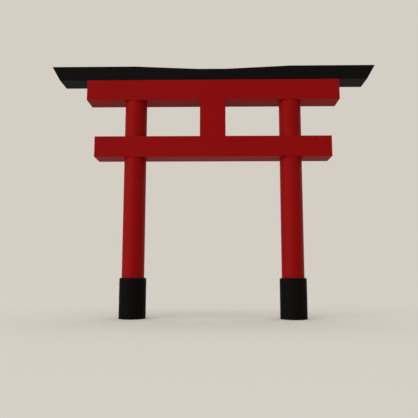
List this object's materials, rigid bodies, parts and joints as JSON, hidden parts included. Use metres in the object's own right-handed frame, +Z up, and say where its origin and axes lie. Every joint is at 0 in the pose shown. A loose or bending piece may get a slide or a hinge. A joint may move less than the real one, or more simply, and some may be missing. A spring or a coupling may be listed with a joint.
{
  "type": "torii gate",
  "caption": "Wooden shrine gate with round red pillars in black foot sleeves, a straight tie beam, a centre strut and a black top lintel with leaning ends.",
  "frame": {"origin": "on the ground, midway between the two pillars", "axes": "+X along the beams to the viewer's right, -Y out of the front, +Z up"},
  "size_m": [5.0434, 0.4, 3.8976],
  "materials": {
    "red_paint": "smooth satin red lacquer over planed timber",
    "black_paint": "satin black lacquer over planed timber",
    "black_sleeve": "satin black lacquer on turned timber shells"
  },
  "bodies": {
    "root": {"left_pillar": "red_paint", "right_pillar": "red_paint", "left_upper_post": "red_paint", "right_upper_post": "red_paint", "tie_beam": "red_paint", "centre_strut": "red_paint", "lower_lintel_left": "red_paint", "lower_lintel_right": "red_paint", "top_lintel_left": "black_paint", "top_lintel_middle": "black_paint", "top_lintel_right": "black_paint", "weather_board_front_left": "black_paint", "weather_board_front_middle": "black_paint", "weather_board_front_right": "black_paint", "weather_board_back_left": "black_paint", "weather_board_back_middle": "black_paint", "weather_board_back_right": "black_paint", "ridge_strip_left": "black_paint", "ridge_strip_middle": "black_paint", "ridge_strip_right": "black_paint", "left_sleeve_front": "black_sleeve", "left_sleeve_back": "black_sleeve", "right_sleeve_front": "black_sleeve", "right_sleeve_back": "black_sleeve"}
  },
  "joints": []
}
